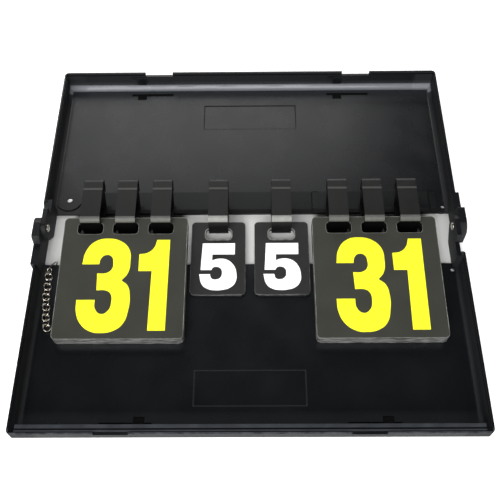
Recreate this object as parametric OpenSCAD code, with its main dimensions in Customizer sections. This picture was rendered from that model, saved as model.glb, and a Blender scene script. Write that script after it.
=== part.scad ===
// Tabletop flip scoreboard in a folding plastic case, lying open and flat.
// X runs along the hinge, Y from the front tray to the rear tray, and Z is up.
// The origin is under the middle of the hinge axis, on the surface the case lies on.

/* [Case] */
// Width of each tray over its side walls
case_w = 390; // [370:1:430]
// Depth of each tray floor, from its hinge edge to its far wall
tray_d = 166; // [160:1:200]
// Height of the tray walls, which is also the height of the hinge axis
wall_h = 22; // [21:0.5:25]
// Thickness of the tray floor
floor_t = 2.2; // [1.8:0.1:2.8]
// Thickness of the tray walls
wall_t = 2.4; // [2:0.1:3.2]
// Gap between the two tray floors when the case lies open
hinge_gap = 56; // [54:1:62]
// Radius of the hollow blend between floor and side walls
side_cove_r = 4.5; // [2:0.5:4.5]
// Radius of the hollow blend between floor and far wall
far_cove_r = 6; // [3:0.5:7]
// Lean of the far wall, out from its foot to its rim
wall_lean = 2.5; // [1:0.25:3]
// Radius of the upright case corners
corner_r = 4; // [3:0.5:5]
// Radius of the outer edge under the side walls
side_sole_r = 2; // [1:0.25:3]
// Radius of the outer edge under the far wall
far_sole_r = 8; // [4:0.5:8]
// Depth of the step along the inside of the rim
rim_step = 0.9; // [0.5:0.1:1.2]
// Height of that step
rim_step_h = 2.5; // [1:0.5:4]

/* [Hinge] */
// Radius of the outer ear around the hinge axis
outer_ear_r = 10; // [8:0.5:11]
// Thickness of the outer ear
outer_ear_t = 6.5; // [5:0.25:7]
// How far the outer ear stands out from the side of the case
ear_out = 3; // [2:0.25:4]
// Distance of the outer ear's square shoulder from the hinge axis
shoulder_y = 15; // [11:0.5:17]
// How far the inner ear reaches past the hinge axis
inner_ear_reach = 8.5; // [7.5:0.5:10]
// Height of the inner ear's top over the hinge axis
inner_ear_rise = 10; // [8:0.5:11]
// Thickness of the inner ear
inner_ear_t = 4; // [3:0.25:4.5]
// Side play between two ears
ear_play = 0.4; // [0.2:0.1:0.8]
// Radius of the rivet shank
rivet_r = 2; // [1.5:0.1:2.5]
// Radius of the rivet heads
rivet_head_r = 3.6; // [3:0.1:4.5]
// Height of the rivet heads
rivet_head_h = 1; // [0.6:0.1:1.6]
// How far a side wall runs past the hinge edge on the inner ear's side
wall_past = 4; // [3:0.5:5]
// Length of wall that carries the outer ear
ear_root = 10; // [8:1:20]
// Length of wall that carries the inner ear
inner_root = 4; // [3:0.25:4.5]

/* [Latches] */
// Distance of the snap notches from the middle of the far wall
notch_x = 81.5; // [70:0.5:90]
// Length of a snap notch in the rim
notch_l = 28.5; // [20:0.5:34]
// Depth of a snap notch
notch_h = 3.5; // [2:0.5:5]
// Width of a snap hook
hook_w = 9.5; // [6:0.5:12]
// How far a snap hook stands off the wall
hook_t = 2.8; // [2:0.1:3.5]
// Width of the small stop beside a hook
stop_w = 6.2; // [4:0.2:8]
// Distance of a snap hook's lower end from the floor
hook_rise = 6; // [5:0.5:8]
// Distance of a snap hook's upper end from the rim
hook_drop = 4; // [3:0.5:6]
// Distance of the core mark from the blend under the far wall
core_gap = 1.3; // [0.5:0.1:3]
// Width of the core mark in the floor, across the wall
core_w = 3.5; // [2:0.5:5]
// Depth of the core marks and of the blank label panel
mark_depth = 0.5; // [0.3:0.1:0.8]

/* [Label panel] */
// Width of the blank label panel
label_w = 95; // [60:1:120]
// Height of the blank label panel
label_h = 31; // [20:1:40]
// Distance of the panel's middle from the tray's far wall
label_y = 45.5; // [35:0.5:60]

/* [Cord holes] */
// Radius of the small holes in the hinge corners
corner_hole_r = 2; // [1.5:0.25:2.5]
// Distance of the corner holes from the side of the case
corner_hole_x = 8.4; // [8:0.2:10]
// Distance of the corner holes from the hinge edge
corner_hole_y = 7; // [7:0.25:9]
// Radius of the larger eyelet hole
eyelet_r = 2.7; // [2:0.1:3.5]
// Distance of the eyelet hole from the side of the case
eyelet_x = 18.5; // [16:0.5:24]
// Distance of the eyelet hole from the hinge edge
eyelet_y = 17; // [14:0.5:24]
// Radius of the raised crescent beside the eyelet hole
crescent_r = 11; // [9:0.5:13]

/* [Ring rail] */
// Width of the rail that carries the rings
rail_w = 24.5; // [20:0.5:28]
// Distance of the rail's left end from the side of the case
rail_left_gap = 32; // [31:1:34]
// Distance of the rail's right end from the side of the case
rail_right_gap = 15; // [15:1:30]
// Thickness of the rail
rail_t = 1.2; // [0.8:0.1:1.6]
// Width of the two snap tabs on the rail
tab_w = 6; // [4:0.5:6.5]
// Distance of the middle snap tab from the set ring beside it
mid_tab_gap = 22; // [16:0.2:26]
// Height of the snap tabs over the rail
tab_h = 0.8; // [0.5:0.1:1.5]

/* [Rings] */
// Width of a ring
ring_w = 18.2; // [14:0.1:19]
// Thickness of a ring's strip
ring_t = 2.2; // [1.8:0.1:2.4]
// Distance of the ring's front face behind the hinge axis
ring_front = 3.8; // [3:0.1:5]
// Depth of the ring along its top
ring_d = 43.7; // [40:0.1:50]
// Height of the ring's top over the table
ring_top = 29.3; // [29:0.1:31]
// Distance that the ring's back leans in towards its foot
ring_lean = 12; // [8:0.5:15]
// Outer radius of the ring's upper bends
ring_bend = 4.5; // [3.5:0.25:6]
// Outer radius of the ring's lower bends
foot_bend = 2.8; // [2.7:0.1:3]
// Distance between the rings of one score pack
ring_pitch = 32.8; // [32:0.1:34]

/* [Cards] */
// Width of a score card
score_w = 114.8; // [112:0.1:116]
// Distance of a score card from the side of the case
side_gap = 22.4; // [22:0.1:24]
// Distance between a score card and the set card beside it
card_gap = 3; // [2:0.1:4]
// Distance of a set card from the middle of the case
middle_gap = 4.2; // [3:0.1:6]
// Length of a score card
score_l = 120.6; // [110:0.1:130]
// Number of score cards in a pack
score_count = 32; // [10:1:34]
// Length of a set card
set_l = 75.2; // [60:0.1:90]
// Number of set cards in a pack
set_count = 6; // [3:1:8]
// Thickness of a card
card_t = 0.34; // [0.3:0.01:0.36]
// Air between two cards
card_air = 0.02; // [0.01:0.01:0.04]
// Radius of a card's corners
card_r = 4; // [2:0.5:6]
// Slope of the packs from the rings down to the tray floor
pack_tilt = 3; // [2.8:0.1:3.3]
// Width of a slot
slot_w = 23.6; // [20:0.1:26]
// Height of a slot in a score card
score_slot_h = 11.7; // [11:0.1:13]
// Height of a slot in a set card
set_slot_h = 10.8; // [10:0.1:12]
// Radius of a slot's corners
slot_r = 3.5; // [1.5:0.25:4]
// Strip between slot and top edge of a score card
score_margin = 5.6; // [4:0.1:6]
// Strip between slot and top edge of a set card
set_margin = 7.6; // [6:0.1:8.5]
// Play between a slot's edge and the ring that it hangs on
slot_gap = 0.7; // [0.5:0.1:1]

/* [Chain] */
// Number of links in the chain
link_count = 12; // [6:1:12]
// Radius of a link, to the middle of its wire
link_r = 3.4; // [3:0.1:3.8]
// Radius of the wire
wire_r = 0.6; // [0.4:0.05:0.65]
// Length of chain that one link takes up
link_pitch = 5.2; // [4.9:0.1:5.4]
// Slant of the links to either side
link_slant = 28; // [26:1:30]
// Length of the shackle, between the middles of its ends
shackle_l = 6.8; // [6.6:0.2:9]
// Radius of the shackle's ends, to the middle of its wire
shackle_r = 2.8; // [2.7:0.1:3]

/* [Hidden] */
$fn = 64;
arc_steps = 6;
leaf_arc_steps = 2;
seat = 0.1;
bore_play = 0.05;
foot_gap = 0.3;
overlap = 1;

// Case
half_w = case_w / 2;
hinge_edge = hinge_gap / 2;
far_edge = hinge_edge + tray_d;
axis_z = wall_h;
wall_end = hinge_edge - wall_past;
inner_ear_x = half_w + ear_out - outer_ear_t - ear_play - inner_ear_t;
ear_foot = 9;
ear_edge_r = 2;
inner_ear_chin = 4;
inner_ear_edge_r = 5;
inner_ear_top_r = 7;
wall_end_r = 7;
hook_low = floor_t + hook_rise;
hook_high = wall_h - hook_drop;
latch_l = notch_l + hook_w + stop_w;
far_latch_x = -(notch_x + latch_l);
core_inset = wall_t + wall_lean + far_cove_r + core_gap;
hook_core_w = 5;
head_rim_turn = 60;
head_start_turn = 90 - head_rim_turn;
crescent_w = 1.8;
crescent_h = 1.2;

// Places across the case
score_x = half_w - side_gap - score_w / 2;
set_w = half_w - side_gap - score_w - card_gap - middle_gap;
set_x = middle_gap + set_w / 2;

// Rings and rail
rail_left = rail_left_gap - half_w;
rail_right = half_w - rail_right_gap;
mid_tab_x = set_x + ring_w / 2 + mid_tab_gap;
rail_z = floor_t;
rail_top = floor_t + rail_t;
ring_back = ring_front + ring_d;
ring_foot = ring_back - ring_lean;
clip_w = 10;
clip_t = 1.7;
groove_y = 7.5;
groove_w = 2;
groove_h = 0.35;
clip_low = 0.5;
ring_places = [
    -score_x - ring_pitch, -score_x, -score_x + ring_pitch,
    -set_x, set_x,
    score_x - ring_pitch, score_x, score_x + ring_pitch
];

// Cards
leaf_pitch = card_t + card_air;
slot_edge_y = ring_front + ring_t + slot_gap;
score_slots = [-ring_pitch, 0, ring_pitch];
set_slots = [0];

// Chain
chain_hole = [-(half_w - corner_hole_x), -(hinge_edge + corner_hole_y)];
shackle_turn = 52;
shackle_z = seat + wire_r + shackle_r;
shackle_web = 0.7;
shackle_hang = 1;
chain_start = chain_hole + [1.1, -1.5];
// Heading of each link, in degrees from the way to the front tray's far wall
link_turns = [8, 4, 2, 0, 0, 2, 12, 8, 4, 7, 13, 17];

// Geometry helpers

function unit(v) = v / norm(v);

// Points of an arc that rounds the corner b between a and c
function round_corner(a, b, c, r, steps) =
    let (
        u = unit(a - b),
        v = unit(c - b),
        half = acos(max(-1, min(1, u * v))) / 2,
        centre = b + unit(u + v) * r / sin(half),
        start = b + u * r / tan(half),
        finish = b + v * r / tan(half),
        a0 = atan2(start[1] - centre[1], start[0] - centre[0]),
        a1 = atan2(finish[1] - centre[1], finish[0] - centre[0]),
        sweep = a1 - a0 > 180 ? a1 - a0 - 360 : a1 - a0 < -180 ? a1 - a0 + 360 : a1 - a0
    )
    [for (i = [0 : steps]) centre + r * [cos(a0 + sweep * i / steps), sin(a0 + sweep * i / steps)]];

// Closed outline with every corner rounded by its own radius, or left sharp where that is zero
function rounded(points, radii, steps = arc_steps) =
    let (n = len(points))
    [for (i = [0 : n - 1])
        for (p = radii[i] == 0 ? [points[i]]
            : round_corner(points[(i + n - 1) % n], points[i], points[(i + 1) % n], radii[i], steps)) p];

// Rectangle around the origin with round corners
function rounded_rect(w, h, r, steps = arc_steps) =
    rounded([[-w / 2, -h / 2], [w / 2, -h / 2], [w / 2, h / 2], [-w / 2, h / 2]], [r, r, r, r], steps);

// Sweeps a Y-Z outline along X from x0 to x1
module along_x(x0, x1) {
    translate([x0, 0, 0])
        rotate([90, 0, 90])
            linear_extrude(height = x1 - x0)
                children();
}

// Sweeps an X-Z outline along Y from y0 to y1
module along_y(y0, y1) {
    translate([0, y1, 0])
        rotate([90, 0, 0])
            linear_extrude(height = y1 - y0)
                children();
}

// Tray

// Block that has a tray's long outline, its cross outline and its plan at the same time.
// The side walls are w from the middle, the far wall is at y and leans, and the foot is at z0.
module tray_block(w, y, hinge_y, z0, z1, side_r, far_r, plan_r) {
    intersection() {
        along_x(-w, w)
            polygon(rounded([[hinge_y, z0], [y + wall_lean, z0], [y, z1], [hinge_y, z1]], [0, far_r, 0, 0]));
        along_y(y, hinge_y)
            polygon(rounded([[-w, z0], [w, z0], [w, z1], [-w, z1]], [side_r, side_r, 0, 0]));
        translate([0, 0, z0])
            linear_extrude(height = z1 - z0)
                polygon(rounded([[-w, y], [w, y], [w, hinge_y], [-w, hinge_y]], [plan_r, plan_r, 0, 0]));
    }
}

// Floor and three walls, open towards the hinge
module tray_shell() {
    rim_w = half_w - wall_t + rim_step;
    difference() {
        tray_block(half_w, -far_edge, -hinge_edge, 0, wall_h, side_sole_r, far_sole_r, corner_r);
        tray_block(
            half_w - wall_t, -far_edge + wall_t, -hinge_edge + overlap,
            floor_t, wall_h + overlap, side_cove_r, far_cove_r, corner_r - wall_t
        );
        translate([-rim_w, -far_edge + wall_t - rim_step, wall_h - rim_step_h])
            cube([2 * rim_w, tray_d, rim_step_h + overlap]);
    }
}

// Y-Z outline of the outer ear, which has a square shoulder and runs down beside the other tray
module outer_ear_outline() {
    translate([0, axis_z])
        circle(r = outer_ear_r);
    polygon(rounded(
        [
            [-hinge_edge - ear_root, 0],
            [ear_foot / 2, 0],
            [outer_ear_r, ear_foot],
            [outer_ear_r, axis_z],
            [0, axis_z],
            [0, axis_z + outer_ear_r],
            [-shoulder_y, axis_z + outer_ear_r],
            [-shoulder_y - ear_edge_r, wall_h],
            [-hinge_edge - ear_root, wall_h]
        ],
        [0, ear_edge_r, ear_edge_r, 0, 0, 0, ear_edge_r, 0, 0]
    ));
}

// Y-Z outline of the inner ear, a deep plate with a round end beyond the hinge axis
module inner_ear_outline() {
    polygon(rounded(
        [
            [-hinge_edge - inner_root, 0],
            [-inner_ear_chin, 0],
            [inner_ear_reach, axis_z - inner_ear_reach],
            [inner_ear_reach, axis_z + inner_ear_rise],
            [-shoulder_y - ear_edge_r, axis_z + inner_ear_rise],
            [-shoulder_y - ear_edge_r, wall_h],
            [-hinge_edge - inner_root, wall_h]
        ],
        [0, inner_ear_edge_r, inner_ear_edge_r, inner_ear_top_r, ear_edge_r, 0, 0]
    ));
}

// Outer ear on the left, inner ear on the right, and the wall ends that carry them
module tray_ears() {
    along_x(-half_w - ear_out, -half_w - ear_out + outer_ear_t)
        outer_ear_outline();
    along_x(inner_ear_x, inner_ear_x + inner_ear_t)
        inner_ear_outline();
    // Wall end beside the inner ear, clear of the other tray's outer ear
    along_x(inner_ear_x, half_w)
        polygon(rounded(
            [
                [-hinge_edge - inner_root, 0],
                [-wall_end, 0],
                [-wall_end, wall_h],
                [-hinge_edge - inner_root, wall_h]
            ],
            [0, side_sole_r, wall_end_r, 0]
        ));
}

// One snap latch: a hook, a stop and a lowered rim for the other tray's hook, which
// starts at x on the far wall and runs towards positive X
module latch_solid(x) {
    translate([x + notch_l, -far_edge + wall_t - rim_step, hook_low])
        cube([hook_w, hook_t + rim_step, hook_high - hook_low]);
    translate([x + notch_l + hook_w, -far_edge + wall_t - rim_step, hook_high - hook_t])
        cube([stop_w, hook_t / 2 + rim_step, hook_t]);
}

module latch_cut(x) {
    translate([x, -far_edge - overlap, wall_h - notch_h])
        cube([notch_l, wall_t + 2 * overlap, notch_h + overlap]);
    translate([x, -far_edge + core_inset, floor_t - mark_depth])
        cube([latch_l, core_w, mark_depth + overlap]);
    translate([x + notch_l, -far_edge + core_inset + core_w, floor_t - mark_depth])
        cube([hook_w, hook_core_w, mark_depth + overlap]);
}

// Small hole through the floor in a hinge corner
module corner_hole(side) {
    translate([side * (half_w - corner_hole_x), -hinge_edge - corner_hole_y, -overlap])
        cylinder(r = corner_hole_r, h = floor_t + 2 * overlap);
}

module eyelet_hole() {
    translate([half_w - eyelet_x, -hinge_edge - eyelet_y, -overlap])
        cylinder(r = eyelet_r, h = floor_t + crescent_r);
}

// Channel under the front tray's floor, from the chain's hole to the hinge edge
module shackle_channel() {
    translate([chain_hole[0], chain_hole[1], -overlap])
        rotate([0, 0, shackle_turn])
            translate([0, -corner_hole_r / 2, 0])
                cube([shackle_l * 3, corner_hole_r, floor_t - shackle_web + overlap]);
}

// Raised crescent between the eyelet hole and the hinge edge
module eyelet_crescent() {
    translate([half_w - eyelet_x, -hinge_edge - eyelet_y, floor_t - overlap])
        difference() {
            intersection() {
                cylinder(r = crescent_r + crescent_w, h = crescent_h + overlap);
                translate([-2 * crescent_r, crescent_r / 2, 0])
                    cube([4 * crescent_r, 2 * crescent_r, wall_h]);
            }
            translate([0, 0, -overlap])
                cylinder(r = crescent_r, h = wall_h);
        }
}

// What both trays share
module tray() {
    difference() {
        union() {
            tray_shell();
            tray_ears();
            latch_solid(notch_x);
            latch_solid(far_latch_x);
        }
        latch_cut(notch_x);
        latch_cut(far_latch_x);
        corner_hole(-1);
        translate([0, -far_edge + label_y, floor_t - mark_depth])
            linear_extrude(height = mark_depth + overlap)
                polygon(rounded_rect(label_w, label_h, card_r / 2));
        translate([-half_w - ear_out - overlap, 0, axis_z])
            rotate([0, 90, 0])
                cylinder(r = rivet_r + bore_play, h = case_w + 2 * (ear_out + overlap));
    }
}

module front_tray() {
    color("#1b1d20")
        difference() {
            tray();
            corner_hole(1);
            shackle_channel();
        }
}

module rear_tray() {
    color("#2c2e31")
        rotate([0, 0, 180])
            difference() {
                union() {
                    tray();
                    eyelet_crescent();
                }
                eyelet_hole();
            }
}

// Rivet through both ears, with a low domed head at each end
module hinge_rivet() {
    grip = outer_ear_t + ear_play + inner_ear_t;
    color("#c9c6bd")
        translate([-half_w - ear_out, 0, axis_z])
            rotate([0, 90, 0])
                rotate_extrude()
                    polygon(concat(
                        [[0, -seat - rivet_head_h]],
                        [for (i = [0 : arc_steps])
                            [rivet_head_r * sin(head_start_turn + head_rim_turn * i / arc_steps),
                             -seat - rivet_head_h * cos(90 * i / arc_steps)]],
                        [[rivet_r, -seat], [rivet_r, grip + seat]],
                        [for (i = [0 : arc_steps])
                            [rivet_head_r * sin(90 - head_rim_turn * i / arc_steps),
                             grip + seat + rivet_head_h * sin(90 * i / arc_steps)]],
                        [[0, grip + seat + rivet_head_h]]
                    ));
}

// Rail and rings

// Strip on the rear floor that carries the rings, with two snap tabs over the hinge edge
module ring_rail() {
    color("#232528") {
        translate([rail_left, hinge_edge, rail_z])
            cube([rail_right - rail_left, rail_w, rail_t]);
        for (x = [mid_tab_x, rail_right - tab_w])
            translate([x, hinge_edge - tab_h, rail_z])
                cube([tab_w, rail_w + tab_h, rail_t + tab_h]);
    }
}

ring_outer_points = [
    [ring_front, rail_top],
    [ring_foot, rail_top],
    [ring_back, ring_top],
    [ring_front, ring_top]
];
ring_slope = unit(ring_outer_points[2] - ring_outer_points[1]);
ring_inset = ring_t / ring_slope[1];
ring_cot = ring_slope[0] / ring_slope[1];
ring_inner_points = [
    [ring_front + ring_t, rail_top + ring_t],
    [ring_foot - ring_inset + ring_t * ring_cot, rail_top + ring_t],
    [ring_back - ring_inset - ring_t * ring_cot, ring_top - ring_t],
    [ring_front + ring_t, ring_top - ring_t]
];
outer_radii = [foot_bend, foot_bend, ring_bend, ring_bend];
inner_radii = [for (r = outer_radii) r - ring_t];

// Closed strap that stands on the rail, reaches over the hinge gap and carries the cards
module card_ring(i) {
    color("#2a2b2d")
        translate([ring_places[i - 1], 0, 0]) {
            difference() {
                along_x(-ring_w / 2, ring_w / 2)
                    difference() {
                        polygon(rounded(ring_outer_points, outer_radii));
                        polygon(rounded(ring_inner_points, inner_radii));
                    }
                translate([-ring_w / 2 - overlap, ring_back - groove_y - groove_w, ring_top - groove_h])
                    cube([ring_w + 2 * overlap, groove_w, groove_h + overlap]);
            }
            translate([-clip_w / 2, hinge_edge - foot_gap - clip_t, clip_low])
                cube([clip_w, clip_t, rail_top + ring_t / 2 - clip_low]);
        }
}

// Cards

function pack_thickness(count) = count * leaf_pitch - card_air;

// Height of a pack's top edge when its foot rests on the tray floor
function pack_z(length, count) =
    floor_t + seat + length * sin(pack_tilt) + pack_thickness(count) * cos(pack_tilt);

// Puts a pack's top edge behind its rings, in the middle at x
module place_pack(x, length, margin, count) {
    translate([x, slot_edge_y + margin * cos(pack_tilt), pack_z(length, count)])
        rotate([pack_tilt, 0, 0])
            children();
}

// Card number n of a pack, counted down from the top one
module leaf(n, w, length, margin, slot_h, slots, steps) {
    translate([0, 0, -n * leaf_pitch - card_t])
        linear_extrude(height = card_t)
            difference() {
                translate([0, -length / 2])
                    polygon(rounded_rect(w, length, card_r, steps));
                for (x = slots)
                    translate([x, -margin - slot_h / 2])
                        polygon(rounded_rect(slot_w, slot_h, slot_r, steps));
            }
}

module score_leaf(n, steps) {
    leaf(n, score_w, score_l, score_margin, score_slot_h, score_slots, steps);
}

module set_leaf(n, steps) {
    leaf(n, set_w, set_l, set_margin, set_slot_h, set_slots, steps);
}

module score_card(side) {
    color("#3a3a38")
        place_pack(side * score_x, score_l, score_margin, score_count)
            score_leaf(0, arc_steps);
}

module score_pack(side) {
    color("#8f9294")
        place_pack(side * score_x, score_l, score_margin, score_count)
            for (n = [1 : score_count - 1])
                score_leaf(n, leaf_arc_steps);
}

module set_card(side) {
    color("#3a3a38")
        place_pack(side * set_x, set_l, set_margin, set_count)
            set_leaf(0, arc_steps);
}

module set_pack(side) {
    color("#8f9294")
        place_pack(side * set_x, set_l, set_margin, set_count)
            for (n = [1 : set_count - 1])
                set_leaf(n, leaf_arc_steps);
}

// Chain

// Wire shackle through the corner hole and round the hinge edge of the front tray
module chain_shackle() {
    color("#b8a888")
        translate([chain_hole[0], chain_hole[1], shackle_z])
            rotate([0, 0, shackle_turn])
                translate([shackle_r - shackle_hang, 0, 0])
                    rotate([90, 0, 0]) {
                        for (end = [0, 1])
                            translate([end * shackle_l, 0, 0])
                                rotate([0, 0, end > 0 ? -90 : 90])
                                    rotate_extrude(angle = 180)
                                        translate([shackle_r, 0])
                                            circle(r = wire_r);
                        for (level = [-1, 1])
                            translate([0, level * shackle_r, 0])
                                rotate([0, 90, 0])
                                    cylinder(r = wire_r, h = shackle_l);
                    }
}

// Way from link n to the next one, between the headings of the two
function chain_step(n) =
    let (turn = (link_turns[n] + link_turns[n + 1]) / 2)
    link_pitch * [sin(turn), -cos(turn)];

function chain_point(n) = n == 0 ? chain_start : chain_point(n - 1) + chain_step(n - 1);

module chain_links() {
    color("#b8a888")
        for (n = [0 : link_count - 1])
            translate(concat(chain_point(n), [floor_t + seat + wire_r + link_r * sin(link_slant)]))
                rotate([0, 0, link_turns[n] - 90])
                    rotate([(n % 2 == 0 ? 1 : -1) * link_slant, 0, 0])
                        rotate_extrude()
                            translate([link_r, 0])
                                circle(r = wire_r);
}

front_tray();
rear_tray();
hinge_rivet();  // hinge_rivet_left
rotate([0, 0, 180]) hinge_rivet();  // hinge_rivet_right
ring_rail();
for (i = [1 : 8]) card_ring(i);
score_card(-1);  // score_card_left
score_card(1);  // score_card_right
set_card(-1);  // set_card_left
set_card(1);  // set_card_right
score_pack(-1);  // score_pack_left
score_pack(1);  // score_pack_right
set_pack(-1);  // set_pack_left
set_pack(1);  // set_pack_right
chain_shackle();
chain_links();
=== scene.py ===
import math
import bmesh
import bpy
from mathutils import Matrix, Vector


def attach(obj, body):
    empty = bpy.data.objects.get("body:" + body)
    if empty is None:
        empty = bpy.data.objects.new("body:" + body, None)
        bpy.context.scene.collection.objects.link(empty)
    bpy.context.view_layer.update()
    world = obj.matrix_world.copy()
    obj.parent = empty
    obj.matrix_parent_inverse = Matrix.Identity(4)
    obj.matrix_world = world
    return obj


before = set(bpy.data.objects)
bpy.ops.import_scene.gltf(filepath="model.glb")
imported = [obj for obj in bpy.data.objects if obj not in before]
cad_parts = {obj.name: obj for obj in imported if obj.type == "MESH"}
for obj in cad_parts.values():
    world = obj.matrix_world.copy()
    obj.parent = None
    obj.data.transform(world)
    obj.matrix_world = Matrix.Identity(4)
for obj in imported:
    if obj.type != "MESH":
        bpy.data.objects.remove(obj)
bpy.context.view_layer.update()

# Lengths are in millimetres and turn to metres through MM, unless a comment says otherwise.
# X runs along the hinge, Y from the front tray to the rear one, and Z up from the table.
MM = 0.001

# Camera, fitted to the four far corners of the open case
CAMERA_PLACE = Vector((5.8, -373.2, 613.4)) * MM
LOOK_DOWN = math.radians(59.47)
LOOK_ASIDE = math.radians(-0.92)
CAMERA_ROLL = math.radians(1.08)
LENS = 54.43
SENSOR = 36.0

# Soft boxes, in metres and watts: name, place, the point each faces, size, power, and whether
# the glossy plastic mirrors it. The tall window in front fills the hollow blends and the bends
# of the rings with light.
SOFTBOXES = (
    ("front_softbox", (-0.45, -1.6, 1.15), (0, 0, 0), (1.9, 2.3), 62, True),
    ("left_softbox", (-1.7, 0.1, 1.3), (0, 0, 0), (1.0, 1.4), 5, False),
    ("right_softbox", (1.7, 0.1, 1.3), (0, 0, 0), (1.0, 1.4), 5, True),
    ("back_panel", (-0.2, 1.35, 1.26), (0, 0.1, 0), (1.14, 0.7), 4.9, True),
    ("back_strip", (0, 1.7, 0.6), (0, 0, 0), (2.2, 0.9), 16, True),
)
STUDIO_COLOUR = "#eef2f6"
STUDIO_STRENGTH = 0.05

# Half the side of the table top, in metres
TABLE_HALF = 6.0

# Typical refractive indices of the plastics and the ink
ABS_IOR = 1.5
PVC_IOR = 1.53
INK_IOR = 1.48

# Blank label panel of each tray: distance of its middle from the hinge axis, and half its size
PANEL_Y = 148.5
PANEL_HALF_W = 47.5
PANEL_HALF_H = 15.5

# Snap latches on the far walls, as the solids have them
LATCH_X = 81.5
LATCH_L = 44.2
NOTCH_L = 28.5
HOOK_W = 9.5

# Dark plates of painted shade in the core marks in the floor below the latches: distances
# from the hinge axis, height and thickness
MARK_FAR = 181.8
MARK_NEAR = 178.3
MARK_FOOT = 173.3
MARK_Z = 1.8
MARK_T = 0.12

# Lip inside the front tray's far rim: its section, as distance from the hinge axis and height,
# and half its length
LIP = (
    (185.4, 20.3), (185.6, 21.0), (188.6, 21.0), (188.8, 20.0), (190.0, 20.0),
    (190.2, 21.2), (191.5, 21.2), (191.5, 19.2), (186.2, 19.2),
)
LIP_END = 189.0

# Rings that carry the cards, and the tongue of each: its ends and its bend in the Y, Z plane
RING_COUNT = 8
TONGUE_START = 36.6
TONGUE_BACK = 51.4
TONGUE_BEND = 4.5
TONGUE_T = 2.2
TONGUE_LIFT = 0.12
TONGUE_LEAN = 4.2
TONGUE_DROP = 9.0
TONGUE_STEPS = 6

# Snap tabs of the rail, with their left sides, and the dark strips of painted shade in the
# seams round them
TABS = (("middle", 60.6), ("right", 174.0))
TAB_W = 6.0
TAB_H = 0.8
TAB_FOOT = 1.0
SEAM_W = 0.9
SEAM_T = 0.1
SEAM_LIFT = 0.02
END_SEAM_NEAR = 1.2
END_SEAM_FAR = 0.2

# Cards, as the solids have them, with the widths of the clear margins along their edges and
# round their slots
PACK_TILT = math.radians(3.0)
CARD_R = 4.0
SLOT_R = 3.5
SLOT_W = 23.6
RING_PITCH = 32.8
SCORE_CARD = {
    "length": 120.6, "width": 114.8, "margin": 5.6,
    "slot_h": 11.7, "slots": (-RING_PITCH, 0.0, RING_PITCH),
    "edge_film": 0.45, "slot_film": 0.3,
}
SET_CARD = {
    "length": 75.2, "width": 50.6, "margin": 7.6,
    "slot_h": 10.8, "slots": (0.0,),
    "edge_film": 0.45, "slot_film": 1.2,
}
CORNER_STEPS = 8

# Ink and clear margins on a card's face: thickness of the ink, how high its foot and the margins
# stand, how deep the margins reach, and the steps between two points of a numeral's outline
INK_T = 0.012
INK_LIFT = 0.004
FILM_FOOT = -0.01
OUTLINE_STEPS = 6

# Softened edges, and how much thinner all round the chain's wire is drawn, as the photo shows it
CASE_BEVEL = 0.3
RING_BEVEL = 0.55
TONGUE_BEVEL = 0.35
RAIL_BEVEL = 0.2
BEVEL_STEPS = 2
SHARP = math.radians(40)
WIRE_LOSS = 0.18


def make_camera():
    """The photographer stands in front of the hinge and looks down into the open case."""
    ahead = Vector((
        math.sin(LOOK_ASIDE) * math.cos(LOOK_DOWN),
        math.cos(LOOK_ASIDE) * math.cos(LOOK_DOWN),
        -math.sin(LOOK_DOWN),
    ))
    level = Vector((math.cos(LOOK_ASIDE), -math.sin(LOOK_ASIDE), 0.0))
    down = ahead.cross(level)
    right = level * math.cos(CAMERA_ROLL) + down * math.sin(CAMERA_ROLL)
    below = down * math.cos(CAMERA_ROLL) - level * math.sin(CAMERA_ROLL)
    data = bpy.data.cameras.new("camera")
    data.sensor_width = SENSOR
    data.lens = LENS
    camera = bpy.data.objects.new("camera", data)
    bpy.context.scene.collection.objects.link(camera)
    turn = Matrix((right, -below, -ahead)).transposed().to_4x4()
    camera.matrix_world = Matrix.Translation(CAMERA_PLACE) @ turn
    bpy.context.scene.camera = camera


def make_softbox(name, place, target, size, watts, mirrored):
    """A rectangular soft light at place that faces target."""
    data = bpy.data.lights.new(name, "AREA")
    data.shape = "RECTANGLE"
    data.size, data.size_y = size
    data.energy = watts
    light = bpy.data.objects.new(name, data)
    bpy.context.scene.collection.objects.link(light)
    light.location = place
    light.rotation_euler = (Vector(target) - Vector(place)).to_track_quat("-Z", "Y").to_euler()
    light.visible_glossy = mirrored


def light_studio():
    """Even, very faint light all round, and the soft boxes."""
    scene = bpy.context.scene
    scene.view_settings.view_transform = "Standard"
    world = bpy.data.worlds.new("studio")
    world.use_nodes = True
    background = world.node_tree.nodes["Background"]
    background.inputs["Color"].default_value = linear(STUDIO_COLOUR)
    background.inputs["Strength"].default_value = STUDIO_STRENGTH
    scene.world = world
    for softbox in SOFTBOXES:
        make_softbox(*softbox)


# Materials

def linear(code):
    """sRGB hex colour to the linear values that shaders use."""
    parts = [int(code[i:i + 2], 16) / 255 for i in (1, 3, 5)]
    values = [c / 12.92 if c <= 0.04045 else ((c + 0.055) / 1.055) ** 2.4 for c in parts]
    return (*values, 1.0)


def per_mm(size):
    """Texture scale whose cells are that many millimetres across."""
    return 1.0 / (size * MM)


def add_node(tree, kind, settings=None, links=None):
    """Adds a node, sets its sockets and options by name or number, and links its inputs."""
    node = tree.nodes.new(kind)
    for key, value in (settings or {}).items():
        if isinstance(key, int) or key in node.inputs:
            node.inputs[key].default_value = value
        else:
            setattr(node, key, value)
    for key, source in (links or {}).items():
        tree.links.new(source, node.inputs[key])
    return node


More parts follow.
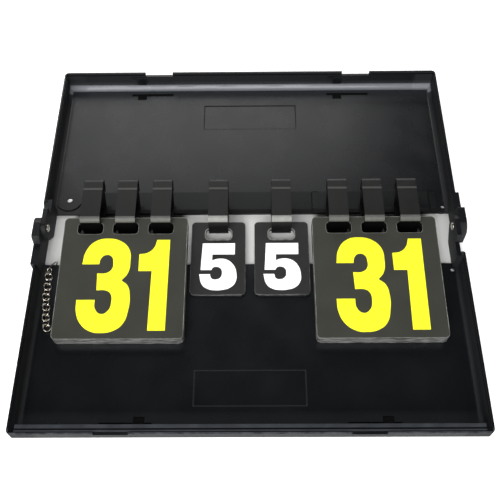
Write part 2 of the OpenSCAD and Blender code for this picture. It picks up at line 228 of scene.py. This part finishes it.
def start_material(name, colour, roughness, **sockets):
    """A named material with its shader, and the object coordinates that its patterns use."""
    material = bpy.data.materials.new(name)
    material.use_nodes = True
    tree = material.node_tree
    shader = tree.nodes["Principled BSDF"]
    shader.inputs["Base Color"].default_value = linear(colour)
    shader.inputs["Roughness"].default_value = roughness
    for socket, value in sockets.items():
        shader.inputs[socket.replace("_", " ")].default_value = value
    place = add_node(tree, "ShaderNodeTexCoord")
    return material, tree, shader, place


def mottle(tree, place, size, low, high):
    """Cloudy values between low and high, with clouds of that many millimetres."""
    # The noise itself seldom leaves 0.3 to 0.7.
    cloud = add_node(
        tree, "ShaderNodeTexNoise",
        {"Scale": per_mm(size), "Detail": 3.0},
        {"Vector": place.outputs["Object"]},
    )
    return add_node(
        tree, "ShaderNodeMapRange",
        {"From Min": 0.3, "From Max": 0.7, "To Min": low, "To Max": high},
        {"Value": cloud.outputs["Fac"]},
    ).outputs["Result"]


def grain(tree, shader, place, size, depth, where=None):
    """Fine bumps that many millimetres across and deep, everywhere or where a mask is 1."""
    noise = add_node(
        tree, "ShaderNodeTexNoise",
        {"Scale": per_mm(size), "Detail": 2.0},
        {"Vector": place.outputs["Object"]},
    )
    bump = add_node(
        tree, "ShaderNodeBump",
        {"Strength": 1.0, "Distance": depth * MM},
        {"Height": noise.outputs["Fac"]},
    )
    if where is not None:
        tree.links.new(where, bump.inputs["Strength"])
    tree.links.new(bump.outputs["Normal"], shader.inputs["Normal"])


def blend_colour(tree, amount, first, second):
    """first where amount is 0 and second where it is 1; either is a hex colour or a socket."""
    mix = add_node(tree, "ShaderNodeMix", {"data_type": "RGBA"}, {"Factor": amount})
    for slot, colour in (("A", first), ("B", second)):
        socket = [s for s in mix.inputs if s.name == slot and s.type == "RGBA"][0]
        if isinstance(colour, str):
            socket.default_value = linear(colour)
        else:
            tree.links.new(colour, socket)
    return [s for s in mix.outputs if s.type == "RGBA"][0]


def axis_mask(tree, place, axis, start, end):
    """0 up to start and 1 from end, in millimetres from the middle along an axis."""
    axes = add_node(tree, "ShaderNodeSeparateXYZ", None, {"Vector": place.outputs["Object"]})
    far = add_node(tree, "ShaderNodeMath", {"operation": "ABSOLUTE"}, {0: axes.outputs[axis]})
    return add_node(
        tree, "ShaderNodeMapRange",
        {"From Min": start * MM, "From Max": end * MM},
        {"Value": far.outputs["Value"]},
    ).outputs["Result"]


def slope_mask(tree, place, flat, steep):
    """0 where a face is nearer level than flat and 1 where it leans more than steep, in degrees."""
    facing = add_node(tree, "ShaderNodeSeparateXYZ", None, {"Vector": place.outputs["Normal"]})
    upright = add_node(tree, "ShaderNodeMath", {"operation": "ABSOLUTE"}, {0: facing.outputs["Z"]})
    return add_node(
        tree, "ShaderNodeMapRange",
        {"From Min": math.cos(math.radians(flat)), "From Max": math.cos(math.radians(steep))},
        {"Value": upright.outputs["Value"]},
    ).outputs["Result"]


def overlap(tree, first, *others):
    """The product of masks: 1 where all of them are 1."""
    for other in others:
        first = add_node(
            tree, "ShaderNodeMath", {"operation": "MULTIPLY"}, {0: first, 1: other},
        ).outputs["Value"]
    return first


def panel_mask(tree, place, half_w, half_h):
    """1 inside a rectangle round the middle of the blank label panels, which are alike."""
    soft = 0.3
    return overlap(
        tree,
        axis_mask(tree, place, "X", half_w + soft, half_w),
        axis_mask(tree, place, "Y", PANEL_Y - half_h - soft, PANEL_Y - half_h),
        axis_mask(tree, place, "Y", PANEL_Y + half_h + soft, PANEL_Y + half_h),
    )


def moulded_abs_case(name, highlight_colour):
    # Injection-moulded black ABS: a smooth satin skin with faint cloudy flow marks.
    black = "#0e1013"
    material, tree, shader, place = start_material(name, black, 0.28, IOR=ABS_IOR)
    # The rim of the far wall, where the halves close on each other, is painted lighter: a painted
    # highlight.
    painted_highlight = overlap(
        tree,
        axis_mask(tree, place, "Z", 21.4, 21.9),
        axis_mask(tree, place, "Y", 189.0, 190.5),
        mottle(tree, place, size=5.0, low=0.25, high=0.9),
    )
    # The hollow blend under each far wall was polished in the mould and is glossier. It is also
    # painted grey, a painted highlight, which fades out over the floor beside it.
    hollow = overlap(
        tree,
        axis_mask(tree, place, "Y", 180.0, 182.0),
        axis_mask(tree, place, "Z", 12.0, 9.0),
        slope_mask(tree, place, 12.0, 24.0),
        slope_mask(tree, place, 84.0, 74.0),
    )
    beside = overlap(
        tree,
        axis_mask(tree, place, "Y", 168.0, 180.0),
        axis_mask(tree, place, "Z", 6.0, 4.5),
    )
    skin_colour = blend_colour(tree, beside, black, "#2a2d30")
    skin_colour = blend_colour(tree, hollow, skin_colour, "#7c7e84")
    skin_colour = blend_colour(tree, painted_highlight, skin_colour, highlight_colour)
    tree.links.new(skin_colour, shader.inputs["Base Color"])
    # The border of the blank label panel is matt. So are the blends along the side walls, as the
    # tool left them, and the outer faces of the far walls.
    half_border = 0.6
    border = add_node(
        tree, "ShaderNodeMath",
        {"operation": "SUBTRACT"},
        {
            0: panel_mask(tree, place, PANEL_HALF_W + half_border, PANEL_HALF_H + half_border),
            1: panel_mask(tree, place, PANEL_HALF_W - half_border, PANEL_HALF_H - half_border),
        },
    ).outputs["Value"]
    side = overlap(
        tree,
        axis_mask(tree, place, "X", 172.0, 176.0),
        slope_mask(tree, place, 6.0, 16.0),
    )
    outer = overlap(
        tree,
        axis_mask(tree, place, "Y", 191.7, 192.2),
        slope_mask(tree, place, 30.0, 50.0),
    )
    roughness = mottle(tree, place, size=38.0, low=0.24, high=0.32)
    for zone, rougher in ((border, 0.3), (hollow, -0.14), (side, 0.45), (outer, 0.55)):
        roughness = add_node(
            tree, "ShaderNodeMath",
            {"operation": "MULTIPLY_ADD", 1: rougher},
            {0: zone, 2: roughness},
        ).outputs["Value"]
    tree.links.new(roughness, shader.inputs["Roughness"])
    # Real spark texture is about 0.1 mm; it is drawn at 0.9 mm, the finest that shows. The
    # hollow blends have none.
    textured = add_node(
        tree, "ShaderNodeMath", {"operation": "SUBTRACT", 0: 1.0}, {1: hollow},
    ).outputs["Value"]
    grain(tree, shader, place, size=0.9, depth=0.006, where=textured)
    return material


def moulded_abs_lip():
    # The same plastic, black in the groove and down the lip's sides. Its top is painted lighter,
    # a painted highlight like the rim's beside it.
    highlight_colour = "#3f4247"
    material, tree, shader, place = start_material(
        "moulded_abs_lip", highlight_colour, 0.3, IOR=ABS_IOR,
    )
    painted_highlight = overlap(
        tree,
        axis_mask(tree, place, "Z", 20.5, 20.9),
        mottle(tree, place, size=9.0, low=0.6, high=1.0),
    )
    colour = blend_colour(tree, painted_highlight, "#08090a", highlight_colour)
    tree.links.new(colour, shader.inputs["Base Color"])
    return material


def moulded_abs_ring():
    # The rings are moulded in the same black ABS with a finer matt texture. Below their tops they
    # are painted near black: painted shade where the light doesn't reach in under them.
    black = "#1c1c1b"
    material, tree, shader, place = start_material(
        "moulded_abs_ring", black, 0.36, IOR=ABS_IOR, Specular_IOR_Level=0.3,
    )
    top = axis_mask(tree, place, "Z", 24.6, 25.6)
    # A pale line crosses the top near the back: a painted highlight on the crease there.
    crease_highlight = overlap(
        tree,
        top,
        axis_mask(tree, place, "Y", 37.6, 38.0),
        axis_mask(tree, place, "Y", 40.2, 39.8),
    )
    top_colour = blend_colour(tree, crease_highlight, black, "#484846")
    # Painted shade: near black below the tops of the rings.
    colour = blend_colour(tree, top, "#080808", top_colour)
    # The front bend is painted grey as a painted highlight, in a paler grey on the set cards'
    # rings.
    painted_highlight = overlap(
        tree,
        top,
        axis_mask(tree, place, "Y", 8.6, 7.8),
        mottle(tree, place, size=4.0, low=0.8, high=1.0),
    )
    set_rings = axis_mask(tree, place, "X", 60.0, 50.0)
    highlight_colour = blend_colour(tree, set_rings, "#666663", "#a0a09c")
    tree.links.new(
        blend_colour(tree, painted_highlight, colour, highlight_colour), shader.inputs["Base Color"],
    )
    roughness = mottle(tree, place, size=9.0, low=0.32, high=0.42)
    tree.links.new(roughness, shader.inputs["Roughness"])
    grain(tree, shader, place, size=0.8, depth=0.008)
    return material


def moulded_abs_rail():
    # Same plastic, glossier because the rail was moulded against a polished face. Its front
    # edge, where the cards' rings are pushed on, is painted black and matt: painted shade.
    black = "#141617"
    material, tree, shader, place = start_material(
        "moulded_abs_rail", black, 0.30, IOR=ABS_IOR, Specular_IOR_Level=0.3,
    )
    edge_shade = axis_mask(tree, place, "Y", 32.6, 32.0)
    tree.links.new(blend_colour(tree, edge_shade, black, "#030303"), shader.inputs["Base Color"])
    roughness = add_node(
        tree, "ShaderNodeMath",
        {"operation": "MULTIPLY_ADD", 1: 0.5},
        {0: edge_shade, 2: mottle(tree, place, size=14.0, low=0.26, high=0.36)},
    ).outputs["Value"]
    tree.links.new(roughness, shader.inputs["Roughness"])
    grain(tree, shader, place, size=1.2, depth=0.005)
    return material


def matt_abs_slot():
    # The same plastic in the slots and seams where the mould's cores met: matt, and painted near
    # black as painted shade, where the light doesn't reach.
    material, tree, shader, place = start_material(
        "matt_abs_slot", "#030303", 0.8, IOR=ABS_IOR, Specular_IOR_Level=0.2,
    )
    roughness = mottle(tree, place, size=5.0, low=0.7, high=0.9)
    tree.links.new(roughness, shader.inputs["Roughness"])
    return material


def printed_pvc_card(name, colour, bloomed):
    # Charcoal ink flood-printed on PVC sheet: satin, even, with a faint handling bloom.
    material, tree, shader, place = start_material(
        name, colour, 0.42, IOR=PVC_IOR, Specular_IOR_Level=0.3,
    )
    bloom = mottle(tree, place, size=22.0, low=0.0, high=1.0)
    tree.links.new(blend_colour(tree, bloom, colour, bloomed), shader.inputs["Base Color"])
    roughness = mottle(tree, place, size=16.0, low=0.38, high=0.47)
    tree.links.new(roughness, shader.inputs["Roughness"])
    grain(tree, shader, place, size=1.0, depth=0.004)
    return material


def stacked_pvc_edges():
    # Guillotined sheet edges: the print stops short, so the clear film shows pale, in uneven
    # streaks along the sheets with painted glints among them. Round the rings the edges are painted
    # dark: painted shade.
    material, tree, shader, place = start_material(
        "stacked_pvc_edges", "#3a3a37", 0.30, IOR=PVC_IOR,
    )
    flattened = add_node(
        tree, "ShaderNodeMapping",
        {"Scale": (1.0, 1.0, 9.0)},
        {"Vector": place.outputs["Object"]},
    )
    streak = add_node(
        tree, "ShaderNodeTexNoise",
        {"Scale": per_mm(10.0), "Detail": 4.0, "Roughness": 0.7},
        {"Vector": flattened.outputs["Vector"]},
    )
    glint = add_node(
        tree, "ShaderNodeMapRange",
        {"From Min": 0.42, "From Max": 0.68},
        {"Value": streak.outputs["Fac"]},
    ).outputs["Result"]
    # Painted shade: away from the pack's outer edge, round the rings, the edges are dark.
    outer_edge = overlap(
        tree,
        slope_mask(tree, place, 60.0, 78.0),
        axis_mask(tree, place, "Y", 24.0, 30.0),
    )
    # The pale streaks are partly the film's own colour and partly painted glints.
    edges = blend_colour(tree, glint, "#343533", "#bcbdba")
    tree.links.new(blend_colour(tree, outer_edge, "#1a1a19", edges), shader.inputs["Base Color"])
    return material


def clear_film_margin(name, dull, pale):
    # The narrow unprinted margin of the sheet, where the milky film shows through.
    material, tree, shader, place = start_material(name, pale, 0.30, IOR=PVC_IOR)
    patchy = mottle(tree, place, size=6.0, low=0.0, high=1.0)
    tree.links.new(blend_colour(tree, patchy, dull, pale), shader.inputs["Base Color"])
    return material


def screen_ink(name, colour, thinned, glow):
    # Opaque fluorescent screen-printed ink: flat and bright, a touch thinner in places. It also
    # glows faintly of itself: painted light.
    material, tree, shader, place = start_material(
        name, colour, 0.48, IOR=INK_IOR, Emission_Strength=glow,
    )
    shader.inputs["Emission Color"].default_value = linear(colour)
    thin = mottle(tree, place, size=7.0, low=0.0, high=1.0)
    tree.links.new(blend_colour(tree, thin, colour, thinned), shader.inputs["Base Color"])
    return material


def nickel_rivet():
    # Nickel-plated steel rivet, bright and slightly brushed by the setting tool.
    material, tree, shader, place = start_material("nickel_rivet", "#d2cfc6", 0.24, Metallic=1.0)
    roughness = mottle(tree, place, size=1.2, low=0.18, high=0.34)
    tree.links.new(roughness, shader.inputs["Roughness"])
    return material


def worn_nickel_chain():
    # Nickel over brass wire: pale metal, yellower where the plating has worn off.
    material, tree, shader, place = start_material(
        "worn_nickel_chain", "#ddd6c6", 0.3, Metallic=1.0,
    )
    worn = mottle(tree, place, size=2.5, low=0.0, high=1.0)
    tree.links.new(blend_colour(tree, worn, "#f4f1ea", "#d3c7af"), shader.inputs["Base Color"])
    roughness = mottle(tree, place, size=1.5, low=0.14, high=0.28)
    tree.links.new(roughness, shader.inputs["Roughness"])
    return material


def matt_table():
    # White laminate table top, matt. It is lit on its own round the case, as a backdrop is,
    # so that it is pale grey in the hinge gap and white outside.
    white = "#f0f0ee"
    material, tree, shader, place = start_material("matt_table", white, 0.6)
    outside = add_node(
        tree, "ShaderNodeMath",
        {"operation": "MAXIMUM"},
        {
            0: axis_mask(tree, place, "X", 194.0, 202.0),
            1: axis_mask(tree, place, "Y", 36.0, 60.0),
        },
    )
    tree.links.new(outside.outputs["Value"], shader.inputs["Emission Strength"])
    shader.inputs["Emission Color"].default_value = linear("#e6e6e6")
    # The score packs hang over the hinge gap; the table under them is painted darker, a painted
    # shadow.
    painted_shadow = overlap(
        tree,
        axis_mask(tree, place, "X", 60.0, 66.0),
        axis_mask(tree, place, "X", 171.0, 165.0),
        axis_mask(tree, place, "Y", 40.0, 30.0),
    )
    tree.links.new(blend_colour(tree, painted_shadow, white, "#50504e"), shader.inputs["Base Color"])
    return material


# Shapes

def link_piece(name, mesh, matrix, material, body):
    """Makes a piece of a mesh, set in place by matrix, riding on a body."""
    mesh.materials.clear()
    mesh.materials.append(material)
    piece = bpy.data.objects.new(name, mesh)
    bpy.context.scene.collection.objects.link(piece)
    piece.matrix_world = matrix
    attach(piece, body)
    return piece


def mesh_piece(name, points, faces, matrix, material, body):
    """A piece from points in its own coordinates, with its faces turned outwards."""
    mesh = bpy.data.meshes.new(name)
    mesh.from_pydata([Vector(p) * MM for p in points], [], faces)
    shape = bmesh.new()
    shape.from_mesh(mesh)
    bmesh.ops.recalc_face_normals(shape, faces=shape.faces)
    shape.to_mesh(mesh)
    shape.free()
    return link_piece(name, mesh, matrix, material, body)


def plate(outline, low, high, along="Z"):
    """Points and faces of a prism on an outline: along Z over X, Y, or along X over Y, Z."""
    count = len(outline)
    if along == "Z":
        points = [(a, b, end) for end in (low, high) for a, b in outline]
    else:
        points = [(end, a, b) for end in (low, high) for a, b in outline]
    faces = [(i, (i + 1) % count, count + (i + 1) % count, count + i) for i in range(count)]
    return points, faces + [tuple(reversed(range(count))), tuple(range(count, 2 * count))]


def rounded_rectangle(width, height, radius, centre):
    """Points round a rectangle with round corners, in order."""
    points = []
    corners = ((1, 1, 0), (-1, 1, 90), (-1, -1, 180), (1, -1, 270))
    for side_x, side_y, start in corners:
        for i in range(CORNER_STEPS + 1):
            turn = math.radians(start + 90 * i / CORNER_STEPS)
            points.append((
                centre[0] + side_x * (width / 2 - radius) + radius * math.cos(turn),
                centre[1] + side_y * (height / 2 - radius) + radius * math.sin(turn),
            ))
    return points


def node_box(name):
    """Lowest and highest corner of a CAD node at rest, in metres."""
    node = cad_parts[name]
    corners = [node.matrix_world @ Vector(corner) for corner in node.bound_box]
    return Vector(map(min, zip(*corners))), Vector(map(max, zip(*corners)))


def soften(piece, width):
    """Rounds a piece's sharp edges over that many millimetres."""
    rounding = piece.modifiers.new("softened_edges", "BEVEL")
    rounding.width = width * MM
    rounding.segments = BEVEL_STEPS
    rounding.limit_method = "ANGLE"
    rounding.angle_limit = SHARP
    rounding.use_clamp_overlap = True


def finish_node(name, material, bevel=0.0):
    """Gives a CAD node its material and, if asked, softened edges of that many millimetres."""
    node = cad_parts[name]
    node.data.materials.clear()
    node.data.materials.append(material)
    if bevel > 0:
        soften(node, bevel)


# Trays, rings and rail

def core_marks(tray, side, material):
    """Dark T-shaped plates of painted shade in the core marks below a tray's snap hooks: side is 1
    in front, -1 behind.
    """
    for number, start in enumerate((side * LATCH_X, side * (-LATCH_X - LATCH_L)), 1):
        end = start + side * LATCH_L
        hook_start = start + side * NOTCH_L
        hook_end = hook_start + side * HOOK_W
        corners = (
            (start, MARK_FAR), (end, MARK_FAR), (end, MARK_NEAR), (hook_end, MARK_NEAR),
            (hook_end, MARK_FOOT), (hook_start, MARK_FOOT), (hook_start, MARK_NEAR),
            (start, MARK_NEAR),
        )
        points, faces = plate([(x, -side * y) for x, y in corners], MARK_Z - MARK_T, MARK_Z)
        name = f"{tray}_core_mark_shade_{number}"
        mesh_piece(name, points, faces, Matrix(), material, tray)


def rim_lip(material):
    """The narrow lip inside the front tray's far rim, with a groove beside the wall."""
    points, faces = plate([(-y, z) for y, z in LIP], -LIP_END, LIP_END, along="X")
    name = "front_tray_rim_lip"
    mesh_piece(name, points, faces, Matrix(), material, "front_tray")


def ring_tongue(ring_name, material):
    """The tongue of a ring's strip, which laps over its top and hooks down behind it."""
    low, high = (corner / MM for corner in node_box(ring_name))
    top = high.z + TONGUE_LIFT
    bend_y, bend_z = TONGUE_BACK - TONGUE_BEND, top - TONGUE_BEND

    def quarter(radius):
        """Points from the top of the bend to its back."""
        turns = [math.radians(90 - 90 * step / TONGUE_STEPS) for step in range(TONGUE_STEPS + 1)]
        return [(bend_y + radius * math.cos(t), bend_z + radius * math.sin(t)) for t in turns]

    tip_y, tip_z = TONGUE_BACK - TONGUE_LEAN, bend_z - TONGUE_DROP
    outline = [
        (TONGUE_START, top),
        *quarter(TONGUE_BEND),
        (tip_y, tip_z),
        (tip_y - TONGUE_T, tip_z),
        *reversed(quarter(TONGUE_BEND - TONGUE_T)),
        (TONGUE_START, top - TONGUE_T),
    ]
    points, faces = plate(outline, low.x, high.x, along="X")
    name = f"{ring_name}_tongue"
    piece = mesh_piece(name, points, faces, Matrix(), material, "rear_tray")
    soften(piece, TONGUE_BEVEL)


def tab_seams(tab, left, material):
    """The dark strips of painted shade in the seams along the left side and over the far end of one
    of the rail's snap tabs.
    """
    low, high = (corner / MM for corner in node_box("ring_rail"))
    top, floor = high.z + SEAM_LIFT, high.z - TAB_H + SEAM_LIFT
    right, near, far = left + TAB_W, low.y + TAB_FOOT, high.y
    side = [(left - SEAM_W, near), (left, near), (left, far), (left - SEAM_W, far - SEAM_W)]
    end = [
        (left, far - END_SEAM_NEAR), (right, far - END_SEAM_NEAR),
        (right, far - END_SEAM_FAR), (left, far - END_SEAM_FAR),
    ]
    for place, outline, height in (("side", side, floor), ("end", end, top)):
        points, faces = plate(outline, height - SEAM_T, height)
        name = f"ring_rail_{tab}_tab_{place}_seam"
        mesh_piece(name, points, faces, Matrix(), material, "rear_tray")


def thin_wire(name, depth):
    """Draws a node's wire thinner by that many millimetres all round."""
    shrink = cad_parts[name].modifiers.new("thin_wire", "DISPLACE")
    shrink.mid_level = 0.0
    shrink.strength = -depth * MM


# Cards

def card_place(node):
    """Matrix of the top face of a card or pack: origin in the middle of its top edge, Y up."""
    low, high = node_box(node)
    rise = (high.y - low.y) * math.sin(PACK_TILT)
    thickness = (high.z - low.z - rise) / math.cos(PACK_TILT)
    top_edge = high.y - thickness * math.sin(PACK_TILT)
    origin = Vector(((low.x + high.x) / 2, top_edge, high.z))
    across = Vector((1, 0, 0))
    up = Vector((0, math.cos(PACK_TILT), math.sin(PACK_TILT)))
    out = across.cross(up)
    return Matrix.Translation(origin) @ Matrix((across, up, out)).transposed().to_4x4()


def film_band(name, inner, outer, node, material):
    """Thin band between two outlines with the same number of points, on a card's face."""
    count = len(inner)
    rows = [(inner, INK_LIFT), (outer, INK_LIFT), (outer, FILM_FOOT), (inner, FILM_FOOT)]
    points = [(x, y, z) for row, z in rows for x, y in row]
    faces = []
    for row in range(len(rows)):
        here, there = row * count, (row + 1) % len(rows) * count
        for i in range(count):
            after = (i + 1) % count
            faces.append((here + i, here + after, there + after, there + i))
    mesh_piece(name, points, faces, card_place(node), material, node)


def film_margins(node, card, edge_material, slot_material):
    """The clear margin along a card's edge and round its slots."""
    width, length, slot_h = card["width"], card["length"], card["slot_h"]
    middle = (0.0, -length / 2)
    edge, rim = card["edge_film"], card["slot_film"]
    film_band(
        f"{node}_edge_film",
        rounded_rectangle(width - 2 * edge, length - 2 * edge, CARD_R - edge, middle),
        rounded_rectangle(width, length, CARD_R, middle),
        node, edge_material,
    )
    for number, x in enumerate(card["slots"], 1):
        centre = (x, -card["margin"] - slot_h / 2)
        film_band(
            f"{node}_slot_film_{number}",
            rounded_rectangle(SLOT_W, slot_h, SLOT_R, centre),
            rounded_rectangle(SLOT_W + 2 * rim, slot_h + 2 * rim, SLOT_R + rim, centre),
            node, slot_material,
        )


# Numeral outlines in millimetres from their lower left corner. True marks a round place,
# False a corner.
THREE = (
    (1.7, 66.6, False), (4.2, 80.5, True), (11.6, 90.0, True), (23.4, 93.0, True),
    (35.6, 90.0, True), (43.6, 81.5, True), (45.4, 69.5, True), (43.9, 57.5, True),
    (38.6, 50.3, False), (44.6, 45.0, True), (47.2, 35.0, True), (46.8, 21.5, True),
    (42.6, 8.0, True), (34.6, 1.8, True), (25.4, 0.0, True), (15.6, 1.2, True),
    (6.2, 8.0, True), (1.0, 19.0, True), (0.0, 31.4, False), (16.4, 31.4, False),
    (17.4, 22.6, True), (22.8, 17.8, True), (28.6, 20.6, True), (31.2, 29.5, True),
    (29.6, 37.6, True), (25.6, 40.4, True), (17.0, 40.7, False), (16.2, 57.4, False),
    (24.2, 57.7, True), (28.8, 61.2, True), (29.8, 68.5, True), (27.6, 74.6, True),
    (22.4, 75.9, True), (18.4, 72.4, True), (17.2, 66.6, False),
)
ONE = (
    (15.6, 89.4, False), (27.5, 89.4, False), (27.0, 0.0, False), (11.6, 0.0, False),
    (12.2, 57.5, False), (0.2, 57.5, False), (0.0, 74.6, False), (7.4, 76.0, True),
    (13.0, 81.0, True),
)
FIVE = (
    (2.6, 48.4, False), (32.8, 48.4, False), (32.6, 36.6, False), (11.8, 36.6, False),
    (11.6, 30.6, False), (18.3, 32.3, True), (25.8, 31.0, True), (31.6, 25.6, True),
    (34.3, 17.0, True), (33.4, 8.2, True), (28.6, 2.7, True), (22.0, 0.6, True),
    (15.4, 0.1, True), (8.6, 1.3, True), (3.0, 5.6, True), (0.0, 16.4, False),
    (10.0, 16.4, False), (11.4, 12.2, True), (15.6, 11.0, True), (19.6, 13.0, True),
    (21.0, 17.6, True), (19.6, 22.2, True), (15.6, 23.9, True), (12.4, 22.8, True),
    (11.2, 20.6, False), (1.2, 20.6, False),
)
ZERO = (
    (23.0, 93.0, True), (38.0, 87.5, True), (45.2, 71.0, True), (46.6, 46.5, True),
    (45.2, 22.0, True), (38.0, 5.5, True), (23.0, 0.0, True), (8.0, 5.5, True),
    (0.8, 22.0, True), (-0.6, 46.5, True), (0.8, 71.0, True), (8.0, 87.5, True),
)
ZERO_HOLE = (
    (23.0, 77.0, True), (28.0, 73.0, True), (30.0, 61.0, True), (30.4, 46.5, True),
    (30.0, 32.0, True), (28.0, 20.0, True), (23.0, 16.0, True), (18.0, 20.0, True),
    (16.0, 32.0, True), (15.6, 46.5, True), (16.0, 61.0, True), (18.0, 73.0, True),
)
FOUR = (
    (17.0, 48.4, False), (28.8, 48.4, False), (28.8, 18.6, False), (34.4, 18.6, False),
    (34.4, 9.6, False), (28.8, 9.6, False), (28.8, 0.0, False), (18.2, 0.0, False),
    (18.2, 9.6, False), (0.0, 9.6, False), (0.0, 18.6, False),
)
FOUR_HOLE = (
    (18.2, 18.6, False), (18.2, 35.0, False), (8.8, 18.6, False),
)

# Numerals of each card: name, outlines, and the lower left corner from the middle of the card's
# top edge
SCORE_TOP = (("three", (THREE,), (-38.6, -115.0)), ("one", (ONE,), (14.4, -113.0)))
SCORE_NEXT = (("three", (THREE,), (-50.4, -115.0)), ("zero", (ZERO, ZERO_HOLE), (3.6, -115.0)))
SET_TOP = (("five", (FIVE,), (-17.2, -71.0)),)
SET_NEXT = (("four", (FOUR, FOUR_HOLE), (-17.2, -71.0)),)


def print_numerals(node, body, numerals, ink):
    """Prints a card's numerals, raised by the thickness of the ink."""
    lift = Matrix.Translation(Vector((0, 0, INK_LIFT + INK_T / 2)) * MM)
    for word, outlines, (left, foot) in numerals:
        name = f"{node}_{word}"
        curve = bpy.data.curves.new(name, "CURVE")
        curve.dimensions = "2D"
        curve.fill_mode = "BOTH"
        curve.resolution_u = OUTLINE_STEPS
        curve.extrude = INK_T * MM / 2
        for outline in outlines:
            spline = curve.splines.new("BEZIER")
            spline.use_cyclic_u = True
            spline.bezier_points.add(len(outline) - 1)
            for point, (x, y, is_round) in zip(spline.bezier_points, outline):
                point.co = Vector((left + x, foot + y, 0.0)) * MM
                kind = "AUTO" if is_round else "VECTOR"
                point.handle_left_type = kind
                point.handle_right_type = kind
        sketch = bpy.data.objects.new(name + "_sketch", curve)
        mesh = bpy.data.meshes.new_from_object(sketch)
        bpy.data.objects.remove(sketch)
        mesh.name = name
        link_piece(name, mesh, card_place(node) @ lift, ink, body)


# Table

def lay_table():
    """The table top that the case lies on."""
    far = TABLE_HALF
    mesh = bpy.data.meshes.new("table")
    corners = [(-far, -far, 0), (far, -far, 0), (far, far, 0), (-far, far, 0)]
    mesh.from_pydata(corners, [], [(0, 1, 2, 3)])
    mesh.materials.append(matt_table())
    table = bpy.data.objects.new("table", mesh)
    bpy.context.scene.collection.objects.link(table)


make_camera()
light_studio()
lay_table()

# The front tray's rim is painted with a lighter highlight than the rear one's.
slot = matt_abs_slot()
for tray, side, rim_highlight in (("front_tray", 1, "#585b61"), ("rear_tray", -1, "#16181b")):
    finish_node(tray, moulded_abs_case(f"moulded_abs_{tray}", rim_highlight), CASE_BEVEL)
    core_marks(tray, side, slot)
rim_lip(moulded_abs_lip())
for tab, left in TABS:
    tab_seams(tab, left, slot)
ring = moulded_abs_ring()
for number in range(1, RING_COUNT + 1):
    finish_node(f"card_ring_{number}", ring, RING_BEVEL)
    ring_tongue(f"card_ring_{number}", ring)
finish_node("ring_rail", moulded_abs_rail(), RAIL_BEVEL)

rivet = nickel_rivet()
finish_node("hinge_rivet_left", rivet)
finish_node("hinge_rivet_right", rivet)
chain = worn_nickel_chain()
finish_node("chain_shackle", chain)
finish_node("chain_links", chain)
thin_wire("chain_links", WIRE_LOSS)

score_print = printed_pvc_card("printed_pvc_score_card", "#3b3b36", "#41413b")
set_print = printed_pvc_card("printed_pvc_set_card", "#2b2b2a", "#303030")
stack = stacked_pvc_edges()
film = clear_film_margin("clear_film_margin", "#5a5b57", "#a3a49e")
# A darker margin film for the set cards' edges.
darker_film = clear_film_margin("darker_film_margin", "#2c2d2b", "#6c6d6a")
yellow = screen_ink("screen_ink_yellow", "#ffff2e", "#fbfb22", 0.26)
white = screen_ink("screen_ink_white", "#fbfbfa", "#f4f4f2", 0.40)
for side in ("left", "right"):
    score_card, set_card = f"score_card_{side}", f"set_card_{side}"
    score_pack, set_pack = f"score_pack_{side}", f"set_pack_{side}"
    finish_node(score_card, score_print)
    finish_node(set_card, set_print)
    finish_node(score_pack, stack)
    finish_node(set_pack, stack)
    film_margins(score_card, SCORE_CARD, film, film)
    film_margins(set_card, SET_CARD, darker_film, film)
    print_numerals(score_card, score_card, SCORE_TOP, yellow)
    print_numerals(set_card, set_card, SET_TOP, white)
    # The next card of each pack shows when the top one is flipped over.
    print_numerals(score_pack, "rear_tray", SCORE_NEXT, yellow)
    print_numerals(set_pack, "rear_tray", SET_NEXT, white)
